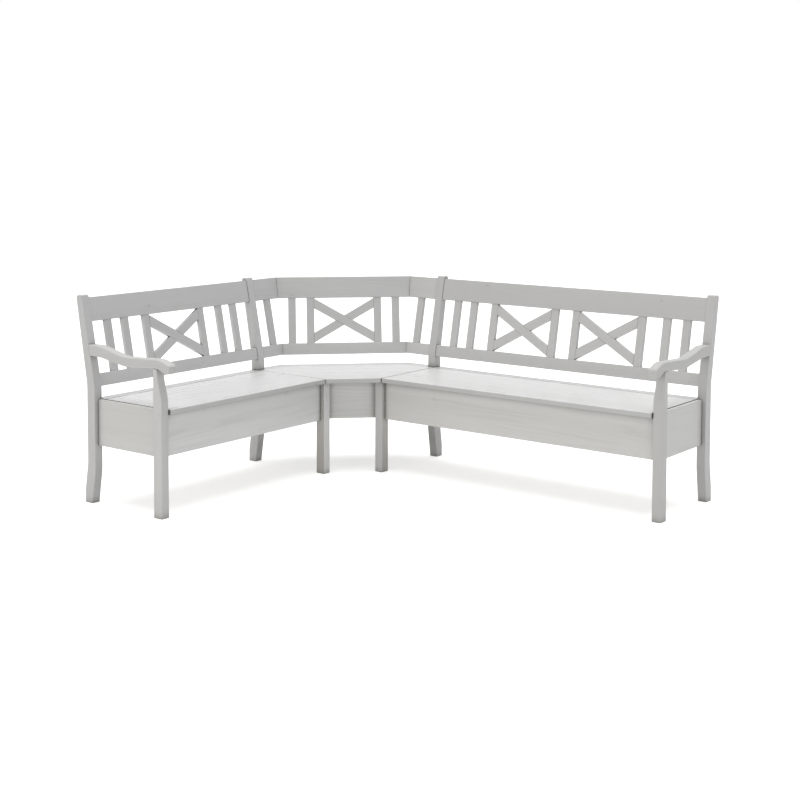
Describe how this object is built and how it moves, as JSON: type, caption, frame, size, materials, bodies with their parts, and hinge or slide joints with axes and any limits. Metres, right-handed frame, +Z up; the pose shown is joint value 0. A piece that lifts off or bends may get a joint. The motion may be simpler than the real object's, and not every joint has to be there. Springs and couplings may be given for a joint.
{
  "type": "corner storage bench",
  "caption": "L-shaped corner bench with lift-up seat lids over storage boxes, slatted backs with diagonal crosses and shaped armrests at both ends.",
  "frame": {"origin": "centre of the bounding box at floor level", "axes": "+X along the long wing away from the corner, +Y from the short wing's free end towards the room corner, +Z up"},
  "size_m": [2.21, 1.775, 0.9131],
  "materials": {
    "white_pine": "white glaze over pine, satin",
    "inner_wood": "white glaze over pine, thin coat",
    "hinge_steel": "zinc plated",
    "felt": "white felt"
  },
  "bodies": {
    "frame": {"box_bottom_cleats": "inner_wood", "corner_cross_falling_diagonals": "white_pine", "corner_cross_rising_diagonals": "white_pine", "corner_cross_stiles": "white_pine", "corner_front_panel": "white_pine", "corner_lower_rail_long": "white_pine", "corner_lower_rail_middle": "white_pine", "corner_lower_rail_short": "white_pine", "corner_rear_panels": "inner_wood", "corner_seat": "white_pine", "corner_seat_cleats": "inner_wood", "corner_slats": "white_pine", "corner_top_rail_long": "white_pine", "corner_top_rail_middle": "white_pine", "corner_top_rail_short": "white_pine", "lid_rest_pads": "felt", "long_armrest": "white_pine", "long_bottom_panel": "inner_wood", "long_cross_falling_diagonals": "white_pine", "long_cross_rising_diagonals": "white_pine", "long_cross_stiles": "white_pine", "long_end_panel": "white_pine", "long_front_panel": "white_pine", "long_hinge_frame_leaves": "hinge_steel", "long_hinge_strip": "white_pine", "long_inner_front_post": "white_pine", "long_inner_panel": "inner_wood", "long_junction_rear_post": "white_pine", "long_lower_rail": "white_pine", "long_outer_front_post": "white_pine", "long_outer_rear_post": "white_pine", "long_rear_panel": "inner_wood", "long_slats": "white_pine", "long_top_rail": "white_pine", "short_armrest": "white_pine", "short_bottom_panel": "inner_wood", "short_cross_falling_diagonals": "white_pine", "short_cross_rising_diagonals": "white_pine", "short_cross_stiles": "white_pine", "short_end_panel": "white_pine", "short_front_panel": "white_pine", "short_hinge_frame_leaves": "hinge_steel", "short_hinge_strip": "white_pine", "short_inner_front_post": "white_pine", "short_inner_panel": "inner_wood", "short_junction_rear_post": "white_pine", "short_lower_rail": "white_pine", "short_outer_front_post": "white_pine", "short_outer_rear_post": "white_pine", "short_rear_panel": "inner_wood", "short_slats": "white_pine", "short_top_rail": "white_pine"},
    "short_lid": {"short_lid": "white_pine", "short_lid_battens": "inner_wood", "short_hinge_lid_leaves": "hinge_steel"},
    "long_lid": {"long_lid": "white_pine", "long_lid_battens": "inner_wood", "long_hinge_lid_leaves": "hinge_steel"}
  },
  "joints": [
    {"name": "short_lid_hinge", "type": "hinge", "parent": "frame", "child": "short_lid", "pos_m": [-0.97203, -0.34747, 0.4575], "axis": [0, -1, 0], "range_deg": [0, 100]},
    {"name": "long_lid_hinge", "type": "hinge", "parent": "frame", "child": "long_lid", "pos_m": [0.34747, 0.75453, 0.4575], "axis": [-1, 0, 0], "range_deg": [0, 100]}
  ]
}
